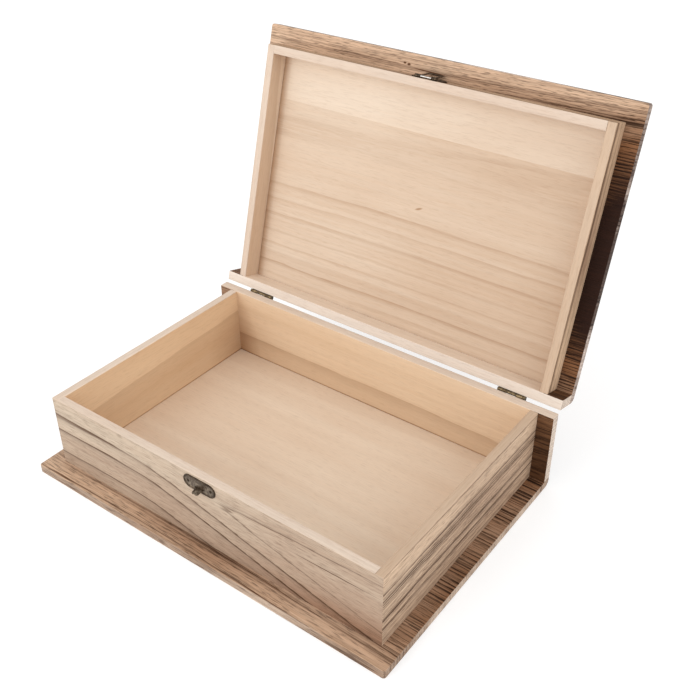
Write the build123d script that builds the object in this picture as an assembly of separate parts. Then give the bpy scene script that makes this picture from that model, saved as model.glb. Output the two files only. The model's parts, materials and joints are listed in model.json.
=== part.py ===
from build123d import *
import math
import os

# Wooden box made like a book. The frame's origin is the middle of the underside.
# +X runs along the box to the right, +Y from the front edge to the spine, +Z up.
# The lid is modelled shut, then turned open about the hinge pins, which is how it rests.
# All sizes are millimetres.

# Tray and lid frame
tray_length = 300.0
tray_depth = 197.5
wall_height = 61.0
rail_height = 17.0
wall_thick = 6.5

# Book covers and spine
cover_thick = 7.0
spine_thick = 8.0
end_overhang = 12.5
front_overhang = 15.0
spine_round = 5.0
cover_corner = 2.0

# Lid swing
lid_gap = 1.0
open_angle = 105.5

# Hinges, on the back of the spine
hinge_inset = 27.0
hinge_length = 23.0
knuckle_radius = 1.25
leaf_thick = 0.6
leaf_width = 9.0
leaf_corner = 1.5
hinge_pin_radius = 0.6
middle_knuckle = 8.0
knuckle_play = 0.15
hinge_nail_spacing = 15.0
hinge_nail_drop = 5.6
stop_length = 2.6
stop_inner = 1.75
stop_thick = 1.0
stop_play = 0.02

# Nails
nail_radius = 0.45
nail_head_radius = 1.15
nail_head_thick = 0.45
nail_length = 5.0

# Catch plate and hasp plate, two ovals from one die
oval_length = 29.0
oval_height = 11.0
plate_thick = 0.8
plate_rim = 1.1
plate_dish = 0.25
plate_nail_spacing = 20.5

# Catch, on the front wall. Its bill stands in the shut loop's window
latch_slack = 1.6
swing_room = 0.2
bill_side_room = 2.1
bill_thick = 0.8
bill_fall = 0.8
bill_bow = 0.25
bill_drop = 1.15

# Hasp, on the lid's front rail
hasp_pin_height = 1.6
hasp_barrel_radius = 1.3
hasp_pin_radius = 0.6
hasp_stand_off = 0.1
loop_width = 14.0
loop_arm = 2.1
loop_thick = 0.7
loop_reach = 15.4
loop_bar = 2.0
loop_corner = 2.4
plate_ear = 2.2
ear_play = 0.15
loop_rest_gap = 0.1

pin_play = 0.03
nail_play = 0.01

# Places that follow from the sizes
cover_length = tray_length + 2 * end_overhang
cover_depth = front_overhang + tray_depth + spine_thick
front_y = front_overhang - cover_depth / 2
spine_y = front_y + tray_depth
back_y = spine_y + spine_thick
tray_top = cover_thick + wall_height
rim_z = tray_top + lid_gap
panel_z = rim_z + rail_height
hinge_spacing = tray_length - 2 * hinge_inset
hinge_y = back_y + knuckle_radius
hinge_z = tray_top + lid_gap / 2
hinge_axis = Axis((0, hinge_y, hinge_z), (1, 0, 0))
hasp_y = front_y - hasp_stand_off - hasp_barrel_radius
hasp_z = rim_z + hasp_pin_height
hasp_axis = Axis((0, hasp_y, hasp_z), (1, 0, 0))
hasp_plate_z = hasp_z + oval_height / 2
window_reach = loop_reach - loop_bar
bill_under_z = hasp_z - window_reach + latch_slack
bill_tip_z = bill_under_z - bill_fall
bill_tip_y = hasp_y - math.sqrt((window_reach - swing_room) ** 2 - (hasp_z - bill_tip_z) ** 2)
bill_width = loop_width - 2 * loop_arm - 2 * bill_side_room
catch_z = bill_under_z + bill_thick + bill_drop


def loop_lean():
    """Degrees that the folded loop leans out, with its tip resting on the top cover."""
    corner = math.hypot(loop_reach, loop_thick / 2)
    room = (rail_height - hasp_pin_height - loop_rest_gap) / corner
    return math.degrees(math.acos(min(1.0, room)) + math.asin(loop_thick / 2 / corner))


def opened(shape):
    """Turn a piece of the shut lid to where the open lid rests."""
    return shape.rotate(hinge_axis, -open_angle)


def block(x_low, x_high, y_low, y_high, z_low, z_high):
    """A square-edged piece between two corners."""
    size = (x_high - x_low, y_high - y_low, z_high - z_low)
    middle = ((x_low + x_high) / 2, (y_low + y_high) / 2, (z_low + z_high) / 2)
    return Pos(*middle) * Box(*size)


def rod(radius, x_low, x_high, y, z):
    """A round bar along X."""
    return Pos((x_low + x_high) / 2, y, z) * Rot(0, 90, 0) * Cylinder(radius, x_high - x_low)


def cover_board(z_low, rounded_z):
    """A book cover, its spine edge rounded on the side at rounded_z."""
    board = block(-cover_length / 2, cover_length / 2, -cover_depth / 2, back_y, z_low, z_low + cover_thick)
    board = fillet(board.edges().filter_by(Axis.Z).group_by(Axis.Y)[0], cover_corner)
    spine_edge = board.edges().filter_by(Axis.X).group_by(Axis.Y)[-1].sort_by(Axis.Z)
    chosen = spine_edge[0] if rounded_z < z_low + cover_thick / 2 else spine_edge[-1]
    return fillet(chosen, spine_round)


def spine_board(z_low, z_high):
    """One half of the spine, as long as the covers, with nail holes for both hinges."""
    board = block(-cover_length / 2, cover_length / 2, spine_y, back_y, z_low, z_high)
    up = -1 if z_high < hinge_z else 1
    for x in hinge_nail_places():
        board -= nail_hole(x, back_y, hinge_z + up * hinge_nail_drop)
    return board


def side_wall(side, z_low, z_high):
    """A side wall or side rail; side is -1 for left and 1 for right."""
    inner = side * (tray_length / 2 - wall_thick)
    outer = side * tray_length / 2
    return block(min(inner, outer), max(inner, outer), front_y, spine_y, z_low, z_high)


def front_wall(z_low, z_high, nail_z):
    """The front wall or rail, held between the side ones, drilled for its plate's nails."""
    half = tray_length / 2 - wall_thick
    wall = block(-half, half, front_y, front_y + wall_thick, z_low, z_high)
    for x in plate_nail_places():
        wall -= nail_hole(x, front_y, nail_z)
    return wall


def hinge_nail_places():
    """X of every hinge nail."""
    return [side * hinge_spacing / 2 + end * hinge_nail_spacing / 2 for side in (-1, 1) for end in (-1, 1)]


def plate_nail_places():
    """X of the two nails of an oval plate."""
    return [-plate_nail_spacing / 2, plate_nail_spacing / 2]


def nail(x, face_y, z, inward, plate):
    """A round-headed nail through a plate on the face at face_y; inward is its way in along Y."""
    head_y = face_y - inward * (plate + nail_head_thick / 2)
    shank = nail_length - nail_head_thick
    shank_y = face_y + inward * (shank / 2 - plate)
    upright = Rot(90, 0, 0)
    head = Pos(x, head_y, z) * upright * Cylinder(nail_head_radius, nail_head_thick)
    top = head.edges().sort_by(Axis.Y)[0 if inward > 0 else -1]
    head = fillet(top, nail_head_thick * 0.6)
    return head + Pos(x, shank_y, z) * upright * Cylinder(nail_radius, shank)


def nail_hole(x, face_y, z):
    """The hole that a nail's shank fills, deep enough for its whole length."""
    depth = 2 * nail_length
    return Pos(x, face_y, z) * Rot(90, 0, 0) * Cylinder(nail_radius + nail_play, depth)


def hinge_leaf(centre_x, up):
    """A hinge leaf with its knuckles and two stop lugs; up is 1 for the lid's and -1 for the tray's."""
    half = hinge_length / 2
    middle = middle_knuckle / 2
    y_low = back_y
    reach = hinge_z + up * leaf_width
    leaf = block(centre_x - half, centre_x + half, y_low, y_low + leaf_thick, min(hinge_z, reach), max(hinge_z, reach))
    outer_corners = leaf.edges().filter_by(Axis.Y).group_by(Axis.Z)[-1 if up > 0 else 0]
    leaf = fillet(outer_corners, leaf_corner)
    own = [(-middle + knuckle_play, middle - knuckle_play)] if up > 0 else [(-half, -middle), (middle, half)]
    other = [(-half, -middle + knuckle_play), (middle - knuckle_play, half)] if up > 0 else [(-middle, middle)]
    room = knuckle_radius + knuckle_play
    for low, high in other:
        leaf -= block(centre_x + low, centre_x + high, y_low - 1, y_low + 2 * room, hinge_z - room, hinge_z + room)
    for low, high in own:
        leaf += rod(knuckle_radius, centre_x + low, centre_x + high, hinge_y, hinge_z)
    for end in (-1, 1):
        low = centre_x + end * (half - stop_length / 2) - stop_length / 2
        leaf += stop_lug(low, up)
    leaf -= rod(hinge_pin_radius + pin_play, centre_x - half - 1, centre_x + half + 1, hinge_y, hinge_z)
    for end in (-1, 1):
        leaf -= nail_hole(centre_x + end * hinge_nail_spacing / 2, y_low, hinge_z + up * hinge_nail_drop)
    return leaf


def stop_lug(x_low, up):
    """A lug on a leaf's outer face. Its slanted top meets the other leaf's lug when the lid is open."""
    slope = math.tan(math.radians((180 - open_angle) / 2))
    outer = stop_inner + stop_thick
    foot = back_y + leaf_thick / 2
    corners = [(foot, stop_inner), (foot, outer)]
    corners += [(hinge_y + reach * slope - stop_play, reach) for reach in (outer, stop_inner)]
    points = [(x_low, y, hinge_z + up * z) for y, z in corners]
    face = make_face(Polyline(*points, close=True))
    return extrude(face, amount=stop_length, dir=(1, 0, 0))


def hinge_pin(centre_x):
    """A hinge's pin, as long as its barrel."""
    half = hinge_length / 2
    return rod(hinge_pin_radius, centre_x - half, centre_x + half, hinge_y, hinge_z)


def hinge_nails(up):
    """The nails of both leaves on one half of the spine."""
    z = hinge_z + up * hinge_nail_drop
    return Compound([nail(x, back_y, z, -1, leaf_thick) for x in hinge_nail_places()])


def oval_plate(z):
    """A dished long oval plate with a raised rim and two nail holes, on the front face."""
    upright = Plane(origin=(0, front_y, z), x_dir=(1, 0, 0), z_dir=(0, -1, 0))
    plate = extrude(upright * SlotOverall(oval_length, oval_height), plate_thick)
    dish = SlotOverall(oval_length - 2 * plate_rim, oval_height - 2 * plate_rim)
    plate -= extrude(upright.offset(plate_thick - plate_dish) * dish, plate_dish)
    for x in plate_nail_places():
        plate -= nail_hole(x, front_y, z)
    return plate


def catch_plate():
    """The catch: an oval plate with a bill that holds the loop's bar from below."""
    root_y = front_y - plate_thick / 2
    bend_y = (root_y + bill_tip_y) / 2
    under_bend = (bend_y, bill_under_z - bill_bow)
    over_bend = (bend_y, bill_under_z + bill_thick - bill_bow)
    over_tip = (bill_tip_y - bill_thick / 2, bill_tip_z + bill_thick / 2)
    over = Spline((root_y, bill_under_z + bill_thick), over_bend, over_tip, tangents=((-1, 0), (-0.5, -1)))
    under = Spline((bill_tip_y, bill_tip_z), under_bend, (root_y, bill_under_z), tangents=((1, 1), (1, 0)))
    outline = over + Line(over @ 1, under @ 0) + under + Line(under @ 1, over @ 0)
    side_view = Plane(origin=(-bill_width / 2, 0, 0), x_dir=(0, 1, 0), z_dir=(1, 0, 0))
    bill = extrude(side_view * make_face(outline), bill_width)
    return oval_plate(catch_z) + bill


def hasp_plate():
    """The hasp's oval plate, with an ear and a knuckle on each side of the loop."""
    plate = oval_plate(hasp_plate_z)
    inner = loop_width / 2 + ear_play
    outer = inner + plate_ear
    room = hasp_barrel_radius + ear_play
    for side in (-1, 1):
        low, high = sorted((side * inner, side * outer))
        plate += block(low, high, front_y - plate_thick, front_y, hasp_z, hasp_z + oval_height / 4)
        plate += rod(hasp_barrel_radius, low, high, hasp_y, hasp_z)
    plate -= block(-inner, inner, hasp_y - room, front_y + 1, hasp_z - room, hasp_z + room)
    return plate - rod(hasp_pin_radius + pin_play, -outer - 1, outer + 1, hasp_y, hasp_z)


def hasp_pin():
    """The pin through the hasp's ears and the loop's knuckles."""
    half = loop_width / 2 + ear_play + plate_ear
    return rod(hasp_pin_radius, -half, half, hasp_y, hasp_z)


def hasp_loop():
    """The loop, leaning out from the plate with its tip on the top cover."""
    half = loop_width / 2
    top = hasp_z + loop_reach
    y_low = hasp_y - loop_thick / 2
    y_high = hasp_y + loop_thick / 2
    loop = block(-half, half, y_low, y_high, hasp_z, top)
    loop = fillet(loop.edges().filter_by(Axis.Y).group_by(Axis.Z)[-1], loop_corner)
    inner = half - loop_arm
    loop -= block(-inner, inner, y_low - 1, y_high + 1, hasp_z - 1, top - loop_bar)
    for side in (-1, 1):
        low, high = sorted((side * inner, side * half))
        loop += rod(hasp_barrel_radius, low, high, hasp_y, hasp_z)
    loop -= rod(hasp_pin_radius + pin_play, -half - 1, half + 1, hasp_y, hasp_z)
    return loop.rotate(hasp_axis, loop_lean())


def plate_nails(z):
    """The two nails of an oval plate."""
    return Compound([nail(x, front_y, z, 1, plate_thick - plate_dish) for x in plate_nail_places()])


tray = {
    "bottom_cover_board": cover_board(0, 0),
    "tray_front_wall": front_wall(cover_thick, tray_top, catch_z),
    "tray_left_wall": side_wall(-1, cover_thick, tray_top),
    "tray_right_wall": side_wall(1, cover_thick, tray_top),
    "tray_spine_board": spine_board(cover_thick, tray_top),
    "left_hinge_tray_leaf": hinge_leaf(-hinge_spacing / 2, -1),
    "right_hinge_tray_leaf": hinge_leaf(hinge_spacing / 2, -1),
    "left_hinge_pin": hinge_pin(-hinge_spacing / 2),
    "right_hinge_pin": hinge_pin(hinge_spacing / 2),
    "hinge_nails_tray": hinge_nails(-1),
    "catch_plate": catch_plate(),
    "catch_nails": plate_nails(catch_z),
}

lid = {
    "top_cover_board": cover_board(panel_z, panel_z + cover_thick),
    "lid_front_rail": front_wall(rim_z, panel_z, hasp_plate_z),
    "lid_left_rail": side_wall(-1, rim_z, panel_z),
    "lid_right_rail": side_wall(1, rim_z, panel_z),
    "lid_spine_strip": spine_board(rim_z, panel_z),
    "left_hinge_lid_leaf": hinge_leaf(-hinge_spacing / 2, 1),
    "right_hinge_lid_leaf": hinge_leaf(hinge_spacing / 2, 1),
    "hinge_nails_lid": hinge_nails(1),
    "hasp_plate": hasp_plate(),
    "hasp_nails": plate_nails(hasp_plate_z),
    "hasp_pin": hasp_pin(),
    "hasp_loop": hasp_loop(),
}

os.makedirs("parts", exist_ok=True)
for name, piece in tray.items():
    export_step(piece, f"parts/{name}.step")
for name, piece in lid.items():
    export_step(opened(piece), f"parts/{name}.step")
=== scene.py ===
import json
import math

import bmesh
import bpy
from mathutils import Matrix, Vector


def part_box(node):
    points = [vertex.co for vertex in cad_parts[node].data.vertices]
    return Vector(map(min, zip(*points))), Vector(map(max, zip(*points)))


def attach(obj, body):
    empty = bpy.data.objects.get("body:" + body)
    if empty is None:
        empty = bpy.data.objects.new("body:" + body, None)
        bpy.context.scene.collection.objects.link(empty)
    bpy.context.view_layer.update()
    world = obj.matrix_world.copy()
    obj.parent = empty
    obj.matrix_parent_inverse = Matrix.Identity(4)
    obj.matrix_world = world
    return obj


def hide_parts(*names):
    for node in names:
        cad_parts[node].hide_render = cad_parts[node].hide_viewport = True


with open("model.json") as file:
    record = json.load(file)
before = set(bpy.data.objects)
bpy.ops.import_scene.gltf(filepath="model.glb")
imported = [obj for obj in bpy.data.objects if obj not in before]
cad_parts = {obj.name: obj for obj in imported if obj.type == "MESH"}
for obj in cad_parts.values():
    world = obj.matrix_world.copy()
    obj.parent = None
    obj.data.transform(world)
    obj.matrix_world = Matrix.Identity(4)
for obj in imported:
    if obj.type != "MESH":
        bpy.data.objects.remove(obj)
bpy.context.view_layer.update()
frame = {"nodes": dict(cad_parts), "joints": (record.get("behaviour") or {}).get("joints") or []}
mm = 0.001


# Bottom cover
# The lower book cover is one 7 mm paulownia board with its grain along the box. Its faces were
# scorched with a torch and brushed, but left bare inside the walls. Its edges are rough and
# brown, and the lower one at the spine is rounded.
cover_corner = 2.0 * mm
spine_round = 5.0 * mm
arris = 0.45 * mm
sharp_turn = math.radians(40)
hair_gap = 0.01 * mm
widest_end = 10 * mm


def sawn_board(low, high):
    """A square-edged board between two corners."""
    board = bmesh.new()
    bmesh.ops.create_cube(board, size=1.0)
    bmesh.ops.scale(board, vec=high - low, verts=board.verts)
    bmesh.ops.translate(board, vec=(low + high) / 2, verts=board.verts)
    return board


def round_off(board, edges, radius, steps):
    """Round some edges of a piece, and shade the new faces smooth."""
    made = bmesh.ops.bevel(
        board, geom=edges, offset=radius, offset_type="OFFSET", segments=steps,
        profile=0.5, affect="EDGES", material=-1)
    for face in made["faces"]:
        face.smooth = True


def ease_arrises(board, glued_at=None):
    """Sand every sharp arris lightly, but not the short ones at a corner that is glued."""
    def glued(edge):
        start, end = (vert.co for vert in edge.verts)
        on_joint = all(abs(abs(place.x) - glued_at) < hair_gap for place in (start, end))
        return on_joint and abs(start.y - end.y) < widest_end
    sharp = [edge for edge in board.edges if edge.calc_face_angle(0.0) > sharp_turn
             and not (glued_at and glued(edge))]
    round_off(board, sharp, arris, steps=2)


def book_cover(low, high, outer_z):
    """A cover board with rounded front corners and a round spine edge on its outer side."""
    board = sawn_board(low, high)
    upright = [e for e in board.edges if abs(e.verts[0].co.z - e.verts[1].co.z) > mm]
    front = [e for e in upright if e.verts[0].co.y < 0]
    round_off(board, front, cover_corner, steps=4)
    spine = [e for e in board.edges
             if all(v.co.y > high.y - mm and abs(v.co.z - outer_z) < mm for v in e.verts)]
    round_off(board, spine, spine_round, steps=8)
    ease_arrises(board)
    return board


def cut_along(board, point, normal):
    """Part the faces of a board along a plane, where its finish changes."""
    everything = board.verts[:] + board.edges[:] + board.faces[:]
    bmesh.ops.bisect_plane(board, geom=everything, dist=hair_gap, plane_co=point, plane_no=normal)


def cut_across(board, *places):
    """Part a board's faces at some distances to each side of its middle."""
    for place in places:
        for side in (-1, 1):
            cut_along(board, (side * place, 0, 0), (1, 0, 0))


def cut_lengthwise(board, *places):
    """Part a board's faces at some places between its front and its back."""
    for place in places:
        cut_along(board, (0, place, 0), (0, 1, 0))


class Amount:
    """A number that varies over a piece, worked out by shader nodes as plain sums."""

    def __init__(self, tree, socket):
        self.tree = tree
        self.socket = socket

    def worked(self, operation, *others, clamp=False):
        values = dict(enumerate((self,) + others))
        node = add_node(self.tree, "ShaderNodeMath", values, operation=operation, use_clamp=clamp)
        return Amount(self.tree, node.outputs[0])

    def __add__(self, other):
        return self.worked("ADD", other)

    def __sub__(self, other):
        return self.worked("SUBTRACT", other)

    def __mul__(self, other):
        return self.worked("MULTIPLY", other)

    def __truediv__(self, other):
        return self.worked("DIVIDE", other)

    def root(self):
        return self.worked("SQRT")

    def whole(self):
        return self.worked("FLOOR")

    def from_0_to_1(self):
        return self.worked("ADD", 0.0, clamp=True)

    def between(self, start, end):
        """0 up to the start, 1 past the end, and even between; the end may be the lower one."""
        inputs = {"Value": self, "From Min": start, "From Max": end}
        return Amount(self.tree, add_node(self.tree, "ShaderNodeMapRange", inputs).outputs[0])

    def along_ramp(self, stops):
        """The height of a ramp at this place; stops are pairs of place and height."""
        node = add_node(self.tree, "ShaderNodeValToRGB", {"Fac": self})
        elements = node.color_ramp.elements
        elements[0].position = stops[0][0]
        elements[1].position = stops[-1][0]
        for place, height in stops[1:-1]:
            elements.new(place)
        for element, (place, height) in zip(elements, stops):
            element.color = (height, height, height, 1.0)
        return Amount(self.tree, node.outputs["Color"])


def add_node(tree, kind, inputs, **settings):
    """A shader node whose inputs are numbers, colours or the sockets of other nodes."""
    node = tree.nodes.new(kind)
    for name, value in settings.items():
        setattr(node, name, value)
    for socket, value in inputs.items():
        if isinstance(value, Amount):
            value = value.socket
        if isinstance(value, bpy.types.NodeSocket):
            tree.links.new(value, node.inputs[socket])
        else:
            node.inputs[socket].default_value = value
    return node


def cloud(tree, place, waves, seed, detail):
    """Soft noise from 0 to 1; waves is how many there are to the metre, each way."""
    shift = (seed, seed * 0.7 + 3.1, seed * 0.4 + 7.7)
    moved = add_node(tree, "ShaderNodeMapping", {"Vector": place, "Location": shift, "Scale": waves})
    inputs = {"Vector": moved.outputs[0], "Scale": 1.0, "Detail": detail}
    return Amount(tree, add_node(tree, "ShaderNodeTexNoise", inputs).outputs["Fac"])


def mix(tree, share, first, second):
    """A colour between two others; the mixing node has its colours at inputs 6 and 7."""
    inputs = {0: share, 6: first, 7: second}
    return add_node(tree, "ShaderNodeMix", inputs, data_type="RGBA").outputs[2]


def tint(red, green, blue):
    """A colour given as a painter reads it off a screen, from 0 to 255."""
    return (*[(((v / 255) + 0.055) / 1.055) ** 2.4 for v in (red, green, blue)], 1.0)


def lie(middle, along, across):
    """A board's own axes: along the grain, across its face, and through it."""
    along, across = Vector(along), Vector(across)
    axes = Matrix((along, across, along.cross(across))).transposed()
    return Matrix.Translation(middle) @ axes.to_4x4()


ring_rise = 0.4 * mm
ring_margin = 2 * mm


def dark_rings(radius, rings):
    """Dark rings, each sharp towards the heart and fading away from it; at most ten."""
    if not rings:
        return radius * 0.0
    low, high = rings[0][0] - ring_margin, rings[-1][0] + rings[-1][2] + ring_margin
    limits = [place - 2 * ring_rise for place, dark, fade in rings[1:]] + [high]
    stops = [(0.0, 0.0)]
    for (place, dark, fade), limit in zip(rings, limits):
        end = min(place + fade, limit)
        for at, height in ((place - ring_rise, 0.0), (place, dark), (end, 0.0)):
            stops.append(((at - low) / (high - low), height))
    return radius.between(low, high).along_ramp(stops + [(1.0, 0.0)])


# The noises in the wood: waves to the metre along the board, across it and through it, a step of
# the seed, the detail, and the two heights between which each goes from nothing to all.
fibre_noise = ((22, 620, 620), 17, 3.0, 0.36, 0.64)
hair_noise = ((70, 2400, 2400), 23, 1.0, 0.3, 0.7)
pore_noise = ((110, 1500, 1500), 29, 1.0, 0.55, 0.68)
streak_noise = ((5, 75, 75), 31, 3.0, 0.32, 0.68)
blotch_noise = ((9, 16, 16), 37, 2.0, 0.3, 0.7)
patch_noise = ((8, 40, 40), 11, 2.0, 0.3, 0.7)


class Wood:
    """A board's own directions, and its fibres, hairs, pores and patches, as amounts."""

    def __init__(self, tree, axes, seed):
        spot = add_node(tree, "ShaderNodeTexCoord", {}).outputs["Object"]
        laid = {"Vector": spot, "Location": axes.translation, "Rotation": axes.to_euler()}
        self.tree = tree
        self.seed = seed
        self.place = add_node(tree, "ShaderNodeMapping", laid, vector_type="TEXTURE").outputs[0]
        parts = add_node(tree, "ShaderNodeSeparateXYZ", {0: self.place}).outputs
        self.along, self.across, self.through = (Amount(tree, part) for part in parts)
        self.fibre = self.noise(*fibre_noise)
        self.hair = self.noise(*hair_noise)
        self.pores = self.noise(*pore_noise)
        self.streak = self.noise(*streak_noise)
        self.blotch = self.noise(*blotch_noise)
        self.patch = self.noise(*patch_noise)

    def noise(self, waves, seed_step, detail, start, end):
        soft = cloud(self.tree, self.place, waves, self.seed + seed_step, detail)
        return soft.between(start, end)

    def swing(self, waves, seed_step, width):
        """A slow wave to and fro, as wide as that in all."""
        return (cloud(self.tree, self.place, waves, self.seed + seed_step, 1.0) - 0.5) * width

    def broken(self, patches, hairs, even):
        """How much of a ring shows at a place, where it fades in patches and hair by hair."""
        return self.patch * patches + self.hair * hairs + even


sway_waves = (6, 14, 14)
ripple_waves = (28, 90, 90)
ripple_seed = 5
ripple_share = 0.6
fray = 0.8 * mm


def about_the_heart(wood, growth):
    """How far a place lies aside of the log's heart, and its ring's radius about it."""
    # The heart's line leans and sweeps aside past the bend, and the log tapers there.
    heart_across, heart_depth = growth["heart"]
    past_bend = wood.along - growth["bend"]
    ramp = (past_bend + (past_bend * past_bend + growth["soft"] ** 2).root()) * 0.5
    sway = wood.swing(sway_waves, 0, 2 * growth["wander"])
    ripple = wood.swing(ripple_waves, ripple_seed, ripple_share * growth["wander"])
    heart_line = wood.across - heart_across - wood.along * growth["lean"] - ramp * growth["sweep"]
    aside = heart_line + sway + ripple
    depth = wood.through - heart_depth
    slope = ramp * growth["taper"] + wood.along * growth["slip"]
    radius = (aside * aside + depth * depth).root() - slope
    return aside, radius + (wood.fibre - 0.5) * fray


def under_torch_and_shade(wood, finish):
    """How much a place is browned by the torch and by painted shade: 0 is bare, 1 brown, and more is
    soot.
    """
    base, by_along, by_across, by_patch = finish["scorch_and_shade"]
    patchy = (wood.streak + wood.blotch - 1.0) * by_patch
    torch_and_shade = wood.along * by_along + wood.across * by_across + patchy + base
    for mark_along, mark_across, reach_along, reach_across, amount in finish["burns_and_shades"]:
        off = (wood.along - mark_along) / reach_along
        aslant = (wood.across - mark_across) / reach_across
        torch_and_shade = torch_and_shade + (off * off + aslant * aslant).root().between(1.0, 0.0) * amount
    return torch_and_shade


limb_side_fade = 3 * mm
limb_end_fade = 20 * mm


def bold_marks(wood, growth, aside, radius):
    """The rings and broad bands that stand out on a board, at their own places."""
    limb_end = growth["one_limb"]
    limb = wood.along.between(limb_end, limb_end - limb_end_fade)
    far_limb = aside.between(0.0, limb_side_fade) * limb
    rings = dark_rings(radius, growth["rings"]) * wood.broken(patches=0.7, hairs=0.3, even=0.4)
    return (rings + dark_rings(radius, growth["bands"])) * (far_limb * -1.0 + 1.0)


# How dark a fine ring is, from its dark edge to the next one's. The rings stray by that reach, at
# that many waves to the ring, and are counted from that number.
fine_ring = ((0, 1), (0.14, 0.8), (0.34, 0.15), (0.88, 0), (1, 1))
uneven_reach = 1.6
uneven_pace = 0.31
rings_before = 50.0
bare_wood_rings = 0.3
browned_rings = 0.8


def fine_marks(wood, growth, radius, browned):
    """Fine rings, uneven in width and strength, and how wide or narrow they are at a place."""
    spacing = radius / growth["fine"]
    pace = {"W": spacing * uneven_pace + wood.seed}
    uneven = add_node(wood.tree, "ShaderNodeTexNoise", pace, noise_dimensions="1D")
    uneven = Amount(wood.tree, uneven.outputs["Fac"])
    count = spacing + uneven * uneven_reach + rings_before
    number = count.whole()
    phase = (count - number).along_ramp(fine_ring)
    draw = {"W": number + wood.seed}
    chance = add_node(wood.tree, "ShaderNodeTexWhiteNoise", draw, noise_dimensions="1D")
    steady = growth["steady"]
    strength = Amount(wood.tree, chance.outputs["Value"]) * (1 - steady) + steady
    brought_out = browned * browned_rings + bare_wood_rings
    inner_end, outer_end = growth["fine_ends"]
    fine = phase * strength * brought_out * radius.between(outer_end, inner_end)
    fine = fine * wood.broken(patches=0.5, hairs=0.3, even=0.35) * growth["fine_dark"]
    return fine, uneven


knot_rim = 1.0
knot_core = 0.4


def knot_marks(wood, growth, dark):
    """The dark lines of the rings with the board's knots and small flaws added."""
    for knot_along, knot_across, slant, length, width in growth["knots"]:
        run = wood.along - knot_along
        off = (wood.across - knot_across - run * slant) / width
        run = run / length
        dark = dark + (run * run + off * off).root().between(knot_rim, knot_core)
    return dark


# How much of the fibres, the hairs and the rings shows in the colour.
fibre_in_ring = 0.06
fibre_in_char = 0.35
fibre_in_soot = 0.3
fibre_in_light = 1.4
hair_in_light = 0.8
ring_in_char = 1.2
least_char = 0.05
# How much of them, of the pores and of the torch's work shows in the relief and the roughness.
fibre_relief = 0.3
hair_relief = 0.25
pore_relief = 0.5
ring_relief = 0.35
browned_relief = 0.9
bump_strength = 0.6
rough_bare = 0.64
rough_browned = 0.14
fibre_in_rough = 0.1


def timber(name, axes, growth, finish):
    """Paulownia: rings about the log's heart, fibres and pores along it, and its finish."""
    material = bpy.data.materials.new(name)
    material.use_nodes = True
    tree = material.node_tree
    wood = Wood(tree, axes, growth["seed"])
    grain = wood.fibre - 0.5
    aside, radius = about_the_heart(wood, growth)
    torch_and_shade = under_torch_and_shade(wood, finish)
    browned = torch_and_shade.from_0_to_1()
    fine, uneven = fine_marks(wood, growth, radius, browned)
    dark = knot_marks(wood, growth, bold_marks(wood, growth, aside, radius) + fine)
    dark = (dark + grain * fibre_in_ring).from_0_to_1()

    # Bare wood with its rings, browned where the torch passed and where shade is painted, and sooty
    # where the torch stayed.
    tone = wood.streak * 0.3 + wood.blotch * 0.3 + uneven.between(0.3, 0.7) * 0.4
    ground = mix(tree, tone.from_0_to_1(), finish["pale"], finish["deep"])
    bare = mix(tree, dark, ground, finish["line"])
    charred = (dark * ring_in_char + grain * fibre_in_char + least_char).from_0_to_1()
    char_and_shade_colour = mix(tree, charred, finish["pale_char_and_shade"], finish["dark_char_and_shade"])
    colour = mix(tree, browned, bare, char_and_shade_colour)
    sooty = (torch_and_shade + grain * fibre_in_soot - 1.0).from_0_to_1()
    colour = mix(tree, sooty, colour, finish["soot"])

    # Each fibre is a little lighter or darker, and the open pores are dark.
    glint = grain * fibre_in_light + (wood.hair - 0.5) * hair_in_light
    light = glint * finish["fibre"] + 1.0
    shaded = add_node(tree, "ShaderNodeVectorMath", {0: colour, "Scale": light}, operation="SCALE")
    colour = mix(tree, wood.pores * finish["pores"], shaded.outputs[0], finish["dark_char_and_shade"])

    # The fibres stand up. The dark rings lie lower, most of all where they are browned, and the
    # pores are open.
    hollow = dark * (browned * browned_relief + ring_relief)
    standing = wood.hair * hair_relief + wood.fibre * fibre_relief
    relief = standing - hollow - wood.pores * pore_relief
    height = {"Height": relief, "Strength": bump_strength, "Distance": finish["relief"]}
    bump = add_node(tree, "ShaderNodeBump", height)
    rough = browned * rough_browned + grain * fibre_in_rough + rough_bare
    shader = tree.nodes["Principled BSDF"]
    tree.links.new(colour, shader.inputs["Base Color"])
    tree.links.new(bump.outputs[0], shader.inputs["Normal"])
    tree.links.new(rough.socket, shader.inputs["Roughness"])
    shader.inputs["Specular IOR Level"].default_value = finish["gloss"]
    return material


def give_finishes(board, materials, choose):
    """Give each face of a board the finish that choose(normal, middle) returns by its number."""
    board.normal_update()
    for face in board.faces:
        face.material_index = choose(face.normal, face.calc_center_median())
    return materials


def fit_piece(name, shape, materials, body, slot, *nodes):
    """Make a modelled shape a piece of the box, in the place of its plain solids."""
    mesh = bpy.data.meshes.new(name)
    shape.to_mesh(mesh)
    shape.free()
    for material in materials:
        mesh.materials.append(material)
    piece = bpy.data.objects.new(name, mesh)
    bpy.context.collection.objects.link(piece)
    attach(piece, body)
    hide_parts(*nodes)
    return piece
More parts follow.
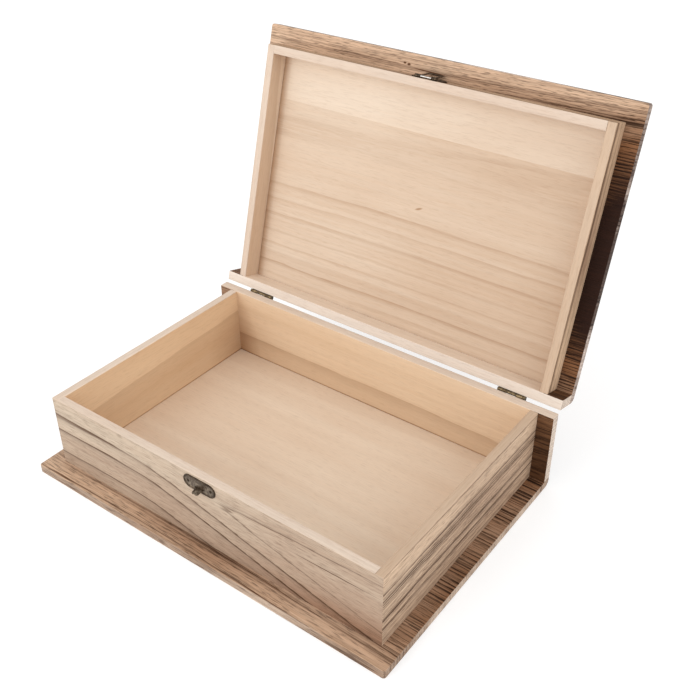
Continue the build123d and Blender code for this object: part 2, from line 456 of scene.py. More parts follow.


# A finish: the bare wood goes from pale to deep and its rings are line; the wood that the torch
# browned goes from its pale char colour to its dark one, and then to soot, and painted shade
# darkens bare wood with the same colours. The scorch entry is the amount of torch work and of
# painted shade, with what it gains in a metre along and across and by patches. Each burn, and each
# painted shade, in the burns entry adds an amount that fades out from its middle, given along and
# across, over its reach each way, and a negative one lightens. relief is how deep the grain
# stands, and fibre and pores how much they show.
raw = {
    "pale": tint(216, 194, 171), "deep": tint(206, 179, 153), "line": tint(164, 130, 100),
    "pale_char_and_shade": tint(170, 130, 95), "dark_char_and_shade": tint(140, 100, 68), "soot": tint(90, 60, 40),
    "scorch_and_shade": (0.0, 0.0, 0.0, 0.0), "burns_and_shades": [], "relief": 0.1 * mm, "fibre": 0.04, "pores": 0.12,
    "gloss": 0.3,
}
# The floor's scorch is painted shade, not torch work: it darkens the floor towards its back left,
# where the walls shade it.
floor_raw = dict(
    raw, pale=tint(235, 218, 197), deep=tint(227, 204, 180), scorch_and_shade=(0.1, -0.55, 0.8, 0.03))
sanded_edge = dict(
    raw, pale=tint(220, 203, 186), deep=tint(208, 186, 166), line=tint(140, 106, 80),
    relief=0.15 * mm, fibre=0.06, pores=0.15)
browned_edge = dict(
    raw, pale=tint(192, 172, 154), deep=tint(166, 142, 122), line=tint(92, 66, 47),
    pale_char_and_shade=tint(136, 108, 87), dark_char_and_shade=tint(62, 42, 30), scorch_and_shade=(0.28, 0.0, 0.0, 0.9),
    burns_and_shades=[(162.5 * mm, 0.0, 3 * mm, 160 * mm, -0.2)], relief=0.25 * mm, fibre=0.24, pores=0.6,
    gloss=0.15)
scorched = {
    "pale": tint(212, 181, 154), "deep": tint(192, 159, 131), "line": tint(98, 66, 44),
    "pale_char_and_shade": tint(139, 96, 65), "dark_char_and_shade": tint(44, 26, 15), "soot": tint(42, 24, 17),
    "scorch_and_shade": (0.55, -0.3, 4.2, 0.2), "relief": 0.35 * mm, "fibre": 0.2, "pores": 0.55,
    "burns_and_shades": [(10 * mm, -103 * mm, 90 * mm, 30 * mm, 0.35),
              (-165 * mm, -103 * mm, 100 * mm, 40 * mm, -0.22),
              (170 * mm, -50 * mm, 40 * mm, 85 * mm, 0.8)],
    "gloss": 0.12,
}
# How the log grew. Its heart is a line that lies so far across the board and so deep. lean and slip
# are how it runs aside and how the log tapers all along, sweep and taper the same past the bend,
# which is rounded by soft. wander is how far the rings stray. Each ring or band is a radius, a
# darkness and how far it fades outwards; short of one_limb they lie on one side of the heart only.
# fine is the spacing of the fine rings, which end between the two fine_ends, and the more steady
# they are, the more alike. A knot is its place, its slant, and half its length and width.
straight_growth = {
    "heart": (90 * mm, -60 * mm), "lean": 0.0, "sweep": 0.0, "taper": 0.0, "slip": 0.0,
    "bend": 0.0, "soft": 60 * mm, "one_limb": -1.0, "rings": [], "bands": [], "knots": [],
    "wander": 2 * mm, "fine": 8 * mm, "fine_dark": 0.6, "fine_ends": (2.0, 3.0), "steady": 0.2,
}
cover_growth = dict(
    straight_growth, seed=2.0, heart=(200 * mm, -16.5 * mm), lean=0.0126, sweep=-0.04,
    bend=-27 * mm, soft=40 * mm, wander=0.8 * mm, fine=3.5 * mm, fine_dark=2.2, steady=0.55,
    fine_ends=(283 * mm, 330 * mm),
    rings=[(295.9 * mm, 1.0, 2.0 * mm), (306.8 * mm, 1.0, 1.6 * mm)],
    bands=[(289.5 * mm, 0.35, 6 * mm)])
cover_edge_growth = dict(cover_growth, rings=[], bands=[], fine_dark=2.0)
floor_growth = dict(
    straight_growth, seed=41.0, heart=(20 * mm, -90 * mm), lean=0.02, taper=0.02,
    wander=5 * mm, fine=14 * mm, fine_dark=0.35)
low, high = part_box("bottom_cover_board")
front_low, front_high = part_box("tray_front_wall")
spine_low, spine_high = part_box("tray_spine_board")
right_low, right_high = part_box("tray_right_wall")
side_seam = (right_low.x + right_high.x) / 2
front_seam = (front_low.y + front_high.y) / 2
spine_seam = (spine_low.y + spine_high.y) / 2
bottom_cover = book_cover(low, high, low.z)
cut_across(bottom_cover, side_seam)
cut_lengthwise(bottom_cover, front_seam, spine_seam)
# How much of a face's normal points one way, where 1 is straight along it.
square_on = 0.9
half_turned = 0.5
slanting = 0.3


def cover_finish(inner_side):
    """Which finish a cover's face has: 0 scorched, 1 bare inside the box, 2 along the edges."""
    def choose(normal, middle):
        inside = abs(middle.x) < side_seam and front_seam < middle.y < spine_seam
        if normal.z * inner_side > square_on:
            return 1 if inside else 0
        return 0 if normal.z * inner_side < -slanting else 2
    return choose


cover_axes = lie((low + high) / 2, (1, 0, 0), (0, 1, 0))
bottom_finishes = give_finishes(bottom_cover, [
    timber("bottom_cover_scorched", cover_axes, cover_growth, scorched),
    timber("tray_floor_bare", cover_axes, floor_growth, floor_raw),
    timber("bottom_cover_edge", cover_axes, cover_edge_growth, browned_edge)], cover_finish(1))
fit_piece("bottom_cover", bottom_cover, bottom_finishes, "tray", "cover_wood", "bottom_cover_board")


# Tray front wall
# A 6.5 mm board glued between the side walls, with a wide arched grain and a bleached, greyer
# outer face. It carries the catch, and its top edge is sanded pale. Inside, every wall has a dark
# line painted along its foot: painted shade in the crease where it meets the floor, and old glue.
weathered = dict(
    scorched, pale=tint(187, 170, 150), deep=tint(173, 151, 131), line=tint(88, 64, 46),
    pale_char_and_shade=tint(150, 116, 93), dark_char_and_shade=tint(84, 58, 40), scorch_and_shade=(0.27, 1.0, -9.0, 0.12),
    burns_and_shades=[(150 * mm, -32 * mm, 110 * mm, 26 * mm, 0.6)], relief=0.25 * mm, fibre=0.13, pores=0.4,
    gloss=0.2)
arched_growth = dict(
    straight_growth, seed=7.0, heart=(26.0 * mm, -1.4 * mm), lean=0.0538, sweep=-0.1591,
    taper=0.0986, slip=0.0306, bend=-52.0 * mm, soft=24.2 * mm, one_limb=20 * mm,
    wander=1.0 * mm, fine=2.6 * mm, fine_dark=0.4,
    rings=[(-3.74 * mm, 0.55, 1.4 * mm), (9.2 * mm, 0.95, 2.2 * mm),
           (20.85 * mm, 1.0, 2.4 * mm), (41.78 * mm, 0.7, 2.2 * mm)],
    bands=[(-3.74 * mm, 0.06, 8 * mm), (9.2 * mm, 0.18, 9 * mm), (20.85 * mm, 0.2, 12 * mm),
           (41.78 * mm, 0.15, 10 * mm)],
    knots=[(112 * mm, 10 * mm, 0.02, 40 * mm, 0.55 * mm)])
wall_inner_x = right_low.x
wall_foot = (front_low.z - front_high.z) / 2
whole_board = 3.0
# A dark line along the foot of a wall's inner face: painted shade where it meets the floor, and old
# glue.
glue_and_shade_at_foot = (0.0, wall_foot, whole_board, 1.6 * mm, 1.5)
wall_raw = dict(raw, pale=tint(222, 195, 162), deep=tint(211, 179, 144), burns_and_shades=[glue_and_shade_at_foot],
                scorch_and_shade=(0.02, 0.8, 0.0, 0.05))


def wall_finish(outward):
    """Which finish a wall's face has: 0 outside, 1 inside, 2 rim, 3 the end at the front."""
    def choose(normal, middle):
        facing = normal.dot(Vector(outward))
        if facing > half_turned:
            return 0
        if facing < -square_on:
            return 1
        return 3 if normal.y < -half_turned else 2
    return choose


front_wall = sawn_board(front_low, front_high)
ease_arrises(front_wall, wall_inner_x)
front_axes = lie((front_low + front_high) / 2, (1, 0, 0), (0, 0, 1))
front_face = timber("front_wall_weathered", front_axes, arched_growth, weathered)
inner_growth = dict(straight_growth, seed=13.0, wander=3 * mm)
front_finishes = give_finishes(front_wall, [
    front_face, timber("front_wall_bare", front_axes, inner_growth, wall_raw),
    timber("front_wall_rim", front_axes, inner_growth, sanded_edge)], wall_finish((0, -1, 0)))
fit_piece("front_wall", front_wall, front_finishes, "tray", "wall_wood", "tray_front_wall")


# Tray side walls
# Two 6.5 mm boards from the front to the spine board, cut across the rings, so that close straight
# lines run along them like the edges of a book's pages. Their front ends are finished with the
# front wall, and inside they have two tones.
page_growth = dict(
    straight_growth, heart=(-75 * mm, 0.0), wander=2.0 * mm, fine=1.9 * mm, fine_dark=2.6,
    fine_ends=(88 * mm, 100 * mm), steady=0.4,
    rings=[(48.5 * mm, 0.5, 1.4 * mm), (53.5 * mm, 0.55, 1.6 * mm), (57.2 * mm, 0.6, 1.2 * mm),
           (59.2 * mm, 1.0, 2.6 * mm), (67 * mm, 1.0, 2.2 * mm), (80 * mm, 0.75, 1.4 * mm),
           (81.7 * mm, 0.7, 1.4 * mm), (84 * mm, 0.85, 1.8 * mm), (89.3 * mm, 0.9, 2.2 * mm),
           (104.3 * mm, 0.7, 1.2 * mm)])
page_lines = dict(
    weathered, pale=tint(203, 177, 151), deep=tint(181, 153, 127), line=tint(70, 46, 30),
    scorch_and_shade=(0.14, 0.0, -3.0, 0.15), burns_and_shades=[(5 * mm, 0.0, 80 * mm, 60 * mm, 0.22)],
    fibre=0.18, pores=0.6)
two_tone_growth = dict(
    straight_growth, seed=23.0, lean=0.05, wander=1.5 * mm, fine=24 * mm, fine_dark=0.4,
    bands=[(104.7 * mm, 0.3, 60 * mm)])
tan_edge = dict(sanded_edge, pale=tint(200, 176, 152), deep=tint(188, 160, 134))
# Inside, the side walls also darken towards their back end at the floor: painted shade in the corner
# by the spine board.
side_raw = dict(wall_raw, burns_and_shades=[glue_and_shade_at_foot, (95 * mm, wall_foot, 40 * mm, 55 * mm, 0.45)])
for side, name, rim in ((-1, "left", sanded_edge), (1, "right", tan_edge)):
    low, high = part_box(f"tray_{name}_wall")
    wall = sawn_board(low, high)
    ease_arrises(wall, wall_inner_x)
    axes = lie((low + high) / 2, (0, 1, 0), (0, 0, 1))
    finishes = give_finishes(wall, [
        timber(f"{name}_wall_lined", axes, dict(page_growth, seed=19.0 + side), page_lines),
        timber(f"{name}_wall_bare", axes, two_tone_growth, side_raw),
        timber(f"{name}_wall_rim", axes, inner_growth, rim), front_face], wall_finish((side, 0, 0)))
    fit_piece(f"{name}_wall", wall, finishes, "tray", "wall_wood", f"tray_{name}_wall")


# Tray spine board
# The lower part of the spine, an 8 mm board as long as the covers, standing on the bottom cover.
# Its back is scorched, and so is its front past the walls. Between them it is bare.
spine_growth = dict(
    straight_growth, seed=31.0, heart=(-40 * mm, -30 * mm), lean=0.02, sweep=0.05, taper=0.02,
    fine=3.4 * mm, fine_dark=1.8,
    rings=[(40 * mm, 0.5, 3 * mm), (52 * mm, 0.6, 3 * mm), (66 * mm, 0.6, 3 * mm)])
back_wall_growth = dict(
    straight_growth, seed=37.0, fine=7 * mm, fine_dark=0.5, fine_ends=(95 * mm, 140 * mm),
    rings=[(120 * mm, 0.3, 8 * mm)],
    bands=[(120 * mm, 0.25, 30 * mm)])


def spine_finish(normal, middle):
    """Which finish a spine board's face has: 0 scorched, 1 bare, 2 rim, 3 ends."""
    if normal.y > half_turned:
        return 0
    if normal.y < -square_on:
        return 1 if abs(middle.x) < side_seam else 0
    return 3 if abs(normal.x) > half_turned else 2


tray_spine = sawn_board(spine_low, spine_high)
ease_arrises(tray_spine)
cut_across(tray_spine, side_seam)
spine_axes = lie((spine_low + spine_high) / 2, (1, 0, 0), (0, 0, 1))
deep_scorched = dict(
    scorched, scorch_and_shade=(0.85, 0.4, -2.0, 0.2), pale_char_and_shade=tint(130, 91, 62), soot=tint(64, 39, 21),
    burns_and_shades=[(165 * mm, -10 * mm, 60 * mm, 60 * mm, 0.9)])
# The back wall's bare face darkens into its left corner at the floor: painted shadow where the left
# wall meets it. It also has the painted line at its foot.
back_raw = dict(
    raw, pale=tint(222, 197, 168), deep=tint(212, 183, 151),
    burns_and_shades=[glue_and_shade_at_foot, (-wall_inner_x, wall_foot, 24 * mm, 52 * mm, 1.0)])
end_grain = dict(
    browned_edge, pale=tint(216, 201, 188), deep=tint(194, 175, 157), scorch_and_shade=(0.05, 0.0, 0.0, 0.3))
spine_finishes = give_finishes(tray_spine, [
    timber("tray_spine_scorched", spine_axes, spine_growth, deep_scorched),
    timber("tray_spine_bare", spine_axes, back_wall_growth, back_raw),
    timber("tray_spine_rim", spine_axes, inner_growth, sanded_edge),
    timber("tray_spine_end", spine_axes, cover_edge_growth, end_grain)], spine_finish)
fit_piece("tray_spine", tray_spine, spine_finishes, "tray", "cover_wood", "tray_spine_board")


# Top cover
# The upper book cover, of two boards glued edge to edge. It stands open, so it is modelled shut
# and then swung about the hinge pins. Inside the rails it is bare, with a small knot. Its ends are
# charred, most of all midway between the front and the spine.
hinge = next(joint for joint in frame["joints"] if joint["name"] == "lid_hinge")
pivot = Vector(hinge["pos_m"])
shutting = Matrix.Rotation(math.radians(hinge["range_deg"][0]), 4, Vector(hinge["axis"]))
lid_open = Matrix.Translation(pivot) @ shutting.inverted() @ Matrix.Translation(-pivot)
lid_shut = lid_open.inverted()


def shut_box(node):
    """The lowest and highest corner of one of the lid's solids, with the lid shut."""
    corners = [lid_shut @ v.co for v in frame["nodes"][node].data.vertices]
    low = Vector([min(corner[i] for corner in corners) for i in range(3)])
    high = Vector([max(corner[i] for corner in corners) for i in range(3)])
    return low, high


def swing_open(shape):
    """Swing a piece of the shut lid to where the open lid rests."""
    bmesh.ops.transform(shape, matrix=lid_open, verts=shape.verts)


glue_line = -53.75 * mm
panel_growth = dict(
    straight_growth, seed=43.0, heart=(-34.2 * mm, -43.5 * mm), lean=-0.017, taper=0.019,
    bend=5 * mm, soft=30 * mm, wander=2.0 * mm, fine=6 * mm, fine_dark=0.15,
    rings=[(40.3 * mm, 0.25, 1.6 * mm), (62.8 * mm, 0.35, 2.4 * mm), (73.3 * mm, 0.35, 2 * mm),
           (84.5 * mm, 0.45, 2.4 * mm), (98 * mm, 0.3, 2 * mm), (108.6 * mm, 0.35, 2.4 * mm),
           (124.1 * mm, 0.65, 3.6 * mm), (134.1 * mm, 0.35, 3 * mm)],
    bands=[(38.2 * mm, 0.22, 2.6 * mm), (62.8 * mm, 0.1, 8 * mm), (84.5 * mm, 0.1, 10 * mm),
           (115 * mm, 0.15, 24 * mm)],
    knots=[(6 * mm, 2.8 * mm, -0.35, 3.8 * mm, 1.1 * mm)])
upper_growth = dict(straight_growth, seed=59.0, wander=4 * mm, fine=18 * mm, fine_dark=0.15)
lid_cover_growth = dict(
    cover_growth, seed=47.0, fine=2.3 * mm, fine_ends=(306 * mm, 312 * mm),
    rings=[(289 * mm, 0.8, 3 * mm), (298 * mm, 0.6, 2.4 * mm), (310.3 * mm, 0.9, 1.4 * mm)],
    # The last three are two small dark flecks and a thin dark streak on the front margin, beside the
    # hasp.
    knots=[(-29.4 * mm, -102.2 * mm, 0.0, 1.7 * mm, 1.0 * mm),
           (-25.6 * mm, -101.7 * mm, 0.0, 2.0 * mm, 1.2 * mm),
           (-6 * mm, -99.4 * mm, 0.03, 17 * mm, 0.6 * mm)])
lid_scorched = dict(
    scorched, scorch_and_shade=(0.25, 0.5, 2.5, 0.2),
    burns_and_shades=[(165 * mm, -3 * mm, 55 * mm, 108 * mm, 3.2), (110 * mm, -97 * mm, 120 * mm, 8 * mm, 0.4),
           (-90 * mm, -100 * mm, 70 * mm, 6 * mm, 0.3)])
charred_edge = dict(
    browned_edge, pale=tint(204, 187, 176), deep=tint(172, 152, 140), pale_char_and_shade=tint(92, 74, 65),
    dark_char_and_shade=tint(44, 31, 26), soot=tint(72, 58, 52), scorch_and_shade=(0.12, 0.0, 0.0, 0.9),
    burns_and_shades=[(0.0, 2 * mm, whole_board, 100 * mm, 1.65)])
# A painted shadow, 8 mm wide, along the foot of the left rail on the bare panel.
left_rail_painted_shadow = (-wall_inner_x, 0.0, 8 * mm, whole_board, 0.9)
low, high = shut_box("top_cover_board")
top_cover = book_cover(low, high, high.z)
cut_across(top_cover, side_seam)
cut_lengthwise(top_cover, front_seam, glue_line, spine_seam)
lid_cover_axes = lid_open @ lie((low + high) / 2, (1, 0, 0), (0, 1, 0))


def top_cover_finish(normal, middle):
    """A cover's finish, with the front board of the bare panel apart as 3."""
    finish = cover_finish(-1)(normal, middle)
    return 3 if finish == 1 and middle.y < glue_line else finish


# The bare panel's two boards are browned more towards the right by their scorch: painted shade where
# less light reaches them.
top_finishes = give_finishes(top_cover, [
    timber("top_cover_scorched", lid_cover_axes, lid_cover_growth, lid_scorched),
    timber("lid_panel_bare", lid_cover_axes, panel_growth, dict(
        raw, pale=tint(209, 189, 168), deep=tint(199, 174, 150), scorch_and_shade=(0.07, 1.5, 0.0, 0.05),
        burns_and_shades=[left_rail_painted_shadow])),
    timber("top_cover_edge", lid_cover_axes, cover_edge_growth, charred_edge),
    timber("lid_panel_front_bare", lid_cover_axes, upper_growth, dict(
        raw, pale=tint(218, 201, 182), deep=tint(211, 191, 170), scorch_and_shade=(0.06, 1.1, 0.0, 0.05),
        burns_and_shades=[left_rail_painted_shadow]))],
    top_cover_finish)
swing_open(top_cover)
fit_piece("top_cover", top_cover, top_finishes, "lid", "cover_wood", "top_cover_board")


# Lid rails
# Three strips glued inside the top cover, as thick as the tray's walls, so that they line up with
# them when the lid is shut. The side rails' front ends are finished with the front rail.
rail_growth = dict(
    page_growth, fine=3.2 * mm, fine_dark=0.7,
    rings=[(68.5 * mm, 0.9, 4.5 * mm), (76 * mm, 0.45, 2.4 * mm)])
rail_weathered = dict(
    weathered, pale=tint(206, 176, 146), deep=tint(188, 156, 126), scorch_and_shade=(0.15, 0.0, 0.0, 0.2),
    burns_and_shades=[(-5 * mm, -2 * mm, 60 * mm, 12 * mm, 0.7)])
rail_edge = dict(sanded_edge, pale=tint(212, 194, 177), deep=tint(200, 177, 157))
rails = (
    ("front_rail", 53.0, (1, 0, 0), (0, -1, 0), rail_edge),
    ("left_rail", 54.0, (0, 1, 0), (-1, 0, 0), rail_edge),
    ("right_rail", 55.0, (0, 1, 0), (1, 0, 0), tan_edge),
)
for name, seed, grain_way, outward, rim in rails:
    low, high = shut_box(f"lid_{name}")
    rail = sawn_board(low, high)
    ease_arrises(rail, wall_inner_x)
    axes = lid_open @ lie((low + high) / 2, grain_way, (0, 0, 1))
    outside = timber(f"{name}_weathered", axes, dict(rail_growth, seed=seed), rail_weathered)
    if name == "front_rail":
        rail_front = outside
    finishes = give_finishes(rail, [
        outside, timber(f"{name}_bare", axes, two_tone_growth, raw),
        timber(f"{name}_rim", axes, inner_growth, rim), rail_front], wall_finish(outward))
    swing_open(rail)
    fit_piece(name, rail, finishes, "lid", "wall_wood", f"lid_{name}")


# Lid spine strip
# The upper part of the spine, an 8 mm strip as long as the cover that it is glued to. It is
# scorched where the tray's board is, and its bare face and its rim are paler.
low, high = shut_box("lid_spine_strip")
lid_spine = sawn_board(low, high)
ease_arrises(lid_spine)
cut_across(lid_spine, side_seam)
lid_spine_axes = lid_open @ lie((low + high) / 2, (1, 0, 0), (0, 0, 1))
strip_edge = dict(sanded_edge, pale=tint(224, 212, 200), deep=tint(212, 195, 178))
strip_raw = dict(raw, pale=tint(230, 212, 193), deep=tint(221, 199, 177))
lid_spine_finishes = give_finishes(lid_spine, [
    timber("lid_spine_scorched", lid_spine_axes, spine_growth, deep_scorched),
    timber("lid_spine_bare", lid_spine_axes, back_wall_growth, strip_raw),
    timber("lid_spine_rim", lid_spine_axes, inner_growth, strip_edge),
    timber("lid_spine_end", lid_spine_axes, cover_edge_growth, end_grain)], spine_finish)
swing_open(lid_spine)
fit_piece("lid_spine", lid_spine, lid_spine_finishes, "lid", "cover_wood", "lid_spine_strip")


# Hinges
# Two small pressed-steel hinges nailed to the back of the spine, plated to look like old bronze.
# The plating is rubbed paler on their leaves and nails, and stays dark on their pins.
rub_waves = (420, 420, 420)
pit_waves = (2400, 2400, 2400)
pit_depth = 0.05 * mm
pit_strength = 0.5
pit_rough = 0.3


def fitting_metal(name, base, worn, rough):
    """Plated or bare steel: a dull base with brighter rubbed patches and fine pitting."""
    material = bpy.data.materials.new(name)
    material.use_nodes = True
    tree = material.node_tree
    spot = add_node(tree, "ShaderNodeTexCoord", {}).outputs["Object"]
    rubbed = cloud(tree, spot, rub_waves, seed=3.0, detail=4.0).between(0.46, 0.72)
    pits = cloud(tree, spot, pit_waves, seed=9.0, detail=2.0)
    colour = mix(tree, rubbed, base, worn)
    height = {"Height": pits, "Strength": pit_strength, "Distance": pit_depth}
    bump = add_node(tree, "ShaderNodeBump", height)
    shader = tree.nodes["Principled BSDF"]
    tree.links.new(colour, shader.inputs["Base Color"])
    tree.links.new((pits * pit_rough + rough).socket, shader.inputs["Roughness"])
    tree.links.new(bump.outputs[0], shader.inputs["Normal"])
    shader.inputs["Metallic"].default_value = 1.0
    return material


dark_bronze = fitting_metal("dark_bronze", tint(62, 51, 41), tint(104, 88, 71), 0.24)
worn_bronze = fitting_metal("worn_bronze", tint(92, 80, 68), tint(156, 142, 124), 0.24)
hinge_bronze = fitting_metal("hinge_bronze", tint(94, 80, 61), tint(156, 136, 104), 0.28)
bare_steel = fitting_metal("bare_steel", tint(190, 186, 180), tint(226, 222, 216), 0.12)
weld_gap = 0.002 * mm
flat_turn = math.radians(1.5)
pressed_turn = math.radians(35)


def rounded_copy(node, radius):
    """A welded copy of a pressed metal part, with its sharp edges rubbed round."""
    metal = bmesh.new()
    metal.from_mesh(frame["nodes"][node].data)
    bmesh.ops.remove_doubles(metal, verts=metal.verts, dist=weld_gap)
    bmesh.ops.dissolve_limit(metal, angle_limit=flat_turn, verts=metal.verts, edges=metal.edges)
    sharp = [e for e in metal.edges if e.calc_face_angle(0.0) > pressed_turn]
    made = bmesh.ops.bevel(
        metal, geom=sharp, offset=radius, offset_type="OFFSET", segments=2, profile=0.5,
        affect="EDGES", material=1, clamp_overlap=True)
    for face in made["faces"]:
        face.smooth = True
    return metal


def join(whole, part):
    """Add a finished part to a larger shape."""
    carrier = bpy.data.meshes.new("carrier")
    part.to_mesh(carrier)
    part.free()
    whole.from_mesh(carrier)
    bpy.data.meshes.remove(carrier)


# Half a nail's outline, from the top of its head to its point: radii and heights in mm.
nail_profile = ((0.0, 0.45), (0.5, 0.41), (0.9, 0.27), (1.15, 0.06), (1.1, 0.0), (0.45, 0.0),
                (0.45, -4.4), (0.0, -5.0))
nail_head = max(radius for radius, height in nail_profile) * mm
nail_sides = 24
nail_weld = 0.001 * mm


def add_nail(nails, seat, outward):
    """Turn a round-headed nail about its own axis and set it where its head seats."""
    nail = bmesh.new()
    points = [nail.verts.new((radius * mm, 0, height * mm)) for radius, height in nail_profile]
    for start, end in zip(points, points[1:]):
        nail.edges.new((start, end))
    bmesh.ops.spin(
        nail, geom=nail.verts[:] + nail.edges[:], cent=(0, 0, 0), axis=(0, 0, 1), dvec=(0, 0, 0),
        angle=2 * math.pi, steps=nail_sides, use_merge=True, use_duplicate=False)
    bmesh.ops.remove_doubles(nail, verts=nail.verts, dist=nail_weld)
    bmesh.ops.recalc_face_normals(nail, faces=nail.faces)
    turned = Vector(outward).to_track_quat("Z", "Y").to_matrix().to_4x4()
    bmesh.ops.transform(nail, matrix=Matrix.Translation(seat) @ turned, verts=nail.verts)
    for face in nail.faces:
        face.smooth = True
    join(nails, nail)


hinge_nail_spacing = 15.0 * mm
leaf_thick = 0.6 * mm
leaf_rub = 0.1 * mm
hinge_halves = (("tray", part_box), ("lid", shut_box))
for body, place in hinge_halves:
    nails = bmesh.new()
    for side in ("left", "right"):
        node = f"{side}_hinge_{body}_leaf"
        leaf = rounded_copy(node, leaf_rub)
        fit_piece(f"{side}_{body}_leaf", leaf, [hinge_bronze, worn_bronze], body, "fittings", node)
        leaf_low, leaf_high = place(node)
        nail_low, nail_high = place(f"hinge_nails_{body}")
        middle = (leaf_low.x + leaf_high.x) / 2
        for end in (-1, 1):
            seat = (middle + end * hinge_nail_spacing / 2, spine_high.y + leaf_thick,
                    (nail_low.z + nail_high.z) / 2)
            add_nail(nails, Vector(seat), (0, 1, 0))
    if body == "lid":
        swing_open(nails)
    fit_piece(f"{body}_hinge_nails", nails, [worn_bronze], body, "fittings", f"hinge_nails_{body}")


def leave_solid(metal, *nodes):
    """Give its metal to each part that is shown by its own plain solid."""
    for node in nodes:
        part = frame["nodes"][node]
        part.data.materials.clear()
        part.data.materials.append(metal)


leave_solid(dark_bronze, "left_hinge_pin", "right_hinge_pin")


# Catch
# A long oval plate pressed from sheet, with a rolled rim and a dished middle, nailed to the front
# wall. Its bill is folded out of it and narrows to a round tip that the loop's bar drops over.
plate_thick = 0.8 * mm
oval_height = 11.0 * mm
oval_sides = 72
oval_turn = math.radians(25)
oval_rub = 0.16 * mm
# The plate's face from its outline inwards: each step's width, and its rise or fall, in mm.
oval_steps = ((1.15, 0.0), (0.45, -0.3), (0.9, -0.06), (1.2, 0.04))
worn_depth = 0.2 * mm
lying_flat = 0.999


def oval_plate(low, high):
    """A long oval plate facing the front, with a rolled rim round a dished middle."""
    plate = bmesh.new()
    end_radius = (high.z - low.z) / 2
    straight = (high.x - low.x) / 2 - end_radius
    half_step = Matrix.Rotation(math.radians(180 / oval_sides), 4, "Z")
    bmesh.ops.create_circle(
        plate, cap_ends=True, segments=oval_sides, radius=end_radius, matrix=half_step)
    for vert in plate.verts:
        vert.co.x += math.copysign(straight, vert.co.x)
    upright = Matrix.Translation(((low.x + high.x) / 2, high.y, (low.z + high.z) / 2))
    upright = upright @ Matrix.Rotation(math.radians(90), 4, "X")
    bmesh.ops.transform(plate, matrix=upright, verts=plate.verts)
    made = bmesh.ops.extrude_face_region(plate, geom=plate.faces[:])
    front = [item for item in made["geom"] if isinstance(item, bmesh.types.BMVert)]
    bmesh.ops.translate(plate, vec=(0, -plate_thick, 0), verts=front)
    bmesh.ops.recalc_face_normals(plate, faces=plate.faces)
    middle_face = min(plate.faces, key=lambda face: face.calc_center_median().y)
    for width, rise in oval_steps:
        bmesh.ops.inset_region(
            plate, faces=[middle_face], thickness=width * mm, depth=rise * mm, use_even_offset=True)
    dish_y = high.y - plate_thick + worn_depth
    for face in plate.faces:
        if face.calc_center_median().y > dish_y and face.normal.y < -slanting:
            face.material_index = 1
    sharp = [e for e in plate.edges if e.calc_face_angle(0.0) > oval_turn]
    round_off(plate, sharp, oval_rub, steps=3)
    for face in plate.faces:
        face.smooth = abs(face.normal.y) < lying_flat
    return plate


bill_reach = 5.2 * mm
bill_thick = 0.8 * mm
bill_root = 4.5 * mm
bill_half = 2.75 * mm
bill_fall = 0.85 * mm
bill_crown = 0.5 * mm
bill_turn = math.radians(45)
bill_rub = 0.18 * mm
# How far out along the bill its root ends and its round tip starts, and how much the tip narrows.
root_end = 0.45
tip_start = 0.72
tip_narrowing = 0.8


def bill(root_y, middle_z):
    """The folded tongue: wide at the plate, crowned, and dropping to a narrow round tip."""
    tongue = bmesh.new()
    bmesh.ops.create_grid(tongue, x_segments=6, y_segments=10, size=1.0)
    for vert in tongue.verts:
        aside, out = vert.co.x, (vert.co.y + 1) / 2
        half = bill_half + (bill_root - bill_half) * (1 - min(1, out / root_end)) ** 2
        tip = max(0.0, (out - tip_start) / (1 - tip_start))
        half *= math.sqrt(1 - tip_narrowing * tip ** 2)
        drop = bill_fall * out ** 2 + bill_crown * min(1, 2 * out) * aside ** 2
        vert.co = (aside * half, root_y - bill_reach * out, middle_z - drop)
    bmesh.ops.recalc_face_normals(tongue, faces=tongue.faces)
    bmesh.ops.solidify(tongue, geom=tongue.faces[:], thickness=bill_thick)
    bmesh.ops.recalc_face_normals(tongue, faces=tongue.faces)
    sharp = [e for e in tongue.edges if e.calc_face_angle(0.0) > bill_turn]
    round_off(tongue, sharp, bill_rub, steps=3)
    for face in tongue.faces:
        face.smooth = True
        face.material_index = 1
    return tongue


nail_sink = 0.3 * mm


def plate_nails(low, high, wall_y):
    """The two nails of an oval plate on a wall, one at each end, with heads sunk in the dish."""
    nails = bmesh.new()
    for nail_x in (low.x + nail_head, high.x - nail_head):
        seat = Vector((nail_x, wall_y - plate_thick + nail_sink, (low.z + high.z) / 2))
        add_nail(nails, seat, (0, -1, 0))
    return nails


# How high the bill starts above the lowest point of the catch's solid: enough for the loop's bar
# to lie clear below it when the box is latched.
bill_height = 2.5 * mm
nail_low, nail_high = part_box("catch_nails")
catch_low, catch_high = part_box("catch_plate")
catch_middle = (nail_low.z + nail_high.z) / 2
plate_low = Vector((catch_low.x, catch_high.y - plate_thick, catch_middle - oval_height / 2))
plate_high = Vector((catch_high.x, catch_high.y, catch_middle + oval_height / 2))
catch = oval_plate(plate_low, plate_high)
join(catch, bill(plate_low.y + plate_thick / 2, catch_low.z + bill_height))
fit_piece("catch", catch, [dark_bronze, worn_bronze], "tray", "fittings", "catch_plate")
catch_nails = plate_nails(nail_low, nail_high, catch_high.y)
fit_piece("catch_nails_round", catch_nails, [dark_bronze], "tray", "fittings", "catch_nails")


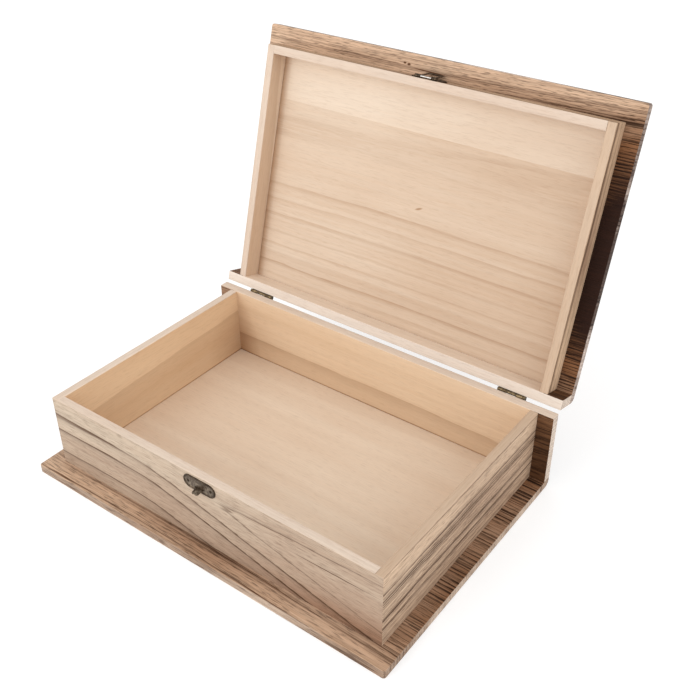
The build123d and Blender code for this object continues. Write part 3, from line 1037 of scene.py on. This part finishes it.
# Hasp
# The catch's partner on the lid: an oval plate with two ears, a pin of bare steel, and a loop that
# swings on it. Two nails, rubbed paler than the catch's, hold the plate.
hasp_rub = 0.14 * mm
loop_rub = 0.16 * mm
hasp_oval = rounded_copy("hasp_plate", hasp_rub)
fit_piece("hasp_oval", hasp_oval, [dark_bronze, worn_bronze], "lid", "fittings", "hasp_plate")
loop = rounded_copy("hasp_loop", loop_rub)
fit_piece("loop", loop, [dark_bronze, worn_bronze], "hasp", "fittings", "hasp_loop")
hasp_nails = plate_nails(*shut_box("hasp_nails"), front_low.y)
swing_open(hasp_nails)
fit_piece("hasp_nails_round", hasp_nails, [worn_bronze], "lid", "fittings", "hasp_nails")
leave_solid(bare_steel, "hasp_pin")


# Studio
# A white table lit from within, a large soft light from the front left, a weaker one from the
# right, and an even pale sky.
table_size = 12.0
table_shape = bmesh.new()
bmesh.ops.create_grid(table_shape, x_segments=1, y_segments=1, size=table_size / 2)
table_mesh = bpy.data.meshes.new("studio_floor")
table_shape.to_mesh(table_mesh)
table_shape.free()
table = bpy.data.objects.new("studio_floor", table_mesh)
bpy.context.collection.objects.link(table)
white_table = bpy.data.materials.new("white_table")
white_table.use_nodes = True
table_shader = white_table.node_tree.nodes["Principled BSDF"]
table_shader.inputs["Base Color"].default_value = (0.55, 0.55, 0.55, 1.0)
table_shader.inputs["Roughness"].default_value = 0.9
table_shader.inputs["Emission Color"].default_value = (1.0, 1.0, 1.0, 1.0)
table_shader.inputs["Emission Strength"].default_value = 0.5
table_mesh.materials.append(white_table)

box_middle = Vector((0.0, 0.0, 0.12))
key_away = Vector((-0.6, -1.55, 0.62))
key_data = bpy.data.lights.new("key_light", "AREA")
key_data.energy = 15.5
key_data.size = 1.3
key = bpy.data.objects.new("key_light", key_data)
key.location = key_away + box_middle
key.rotation_euler = key_away.to_track_quat("Z", "Y").to_euler()
bpy.context.collection.objects.link(key)

fill_share = 0.31
fill_away = Vector((0.9, -0.12, 0.42))
fill_data = bpy.data.lights.new("fill_light", "SUN")
fill_data.energy = math.pi * fill_share
fill_data.angle = math.radians(60)
fill = bpy.data.objects.new("fill_light", fill_data)
fill.rotation_euler = fill_away.to_track_quat("Z", "Y").to_euler()
bpy.context.collection.objects.link(fill)

sky = bpy.data.worlds.new("studio_sky")
sky.use_nodes = True
sky.node_tree.nodes["Background"].inputs["Color"].default_value = (1.0, 1.0, 1.0, 1.0)
sky.node_tree.nodes["Background"].inputs["Strength"].default_value = 0.9
bpy.context.scene.world = sky
bpy.context.scene.view_settings.view_transform = "Standard"


# Camera
# It looks down from the front right, from where the photograph was taken. Its place, aim and lens
# put the box's corners where the photograph has them.
camera_data = bpy.data.cameras.new("camera")
camera_data.sensor_width = 36.0
camera_data.lens = 49.14
camera = bpy.data.objects.new("camera", camera_data)
camera.location = (0.3661, -0.42245, 0.4946)
camera.rotation_euler = (math.radians(56.01), 0.0, math.radians(36.35))
bpy.context.collection.objects.link(camera)
bpy.context.scene.camera = camera
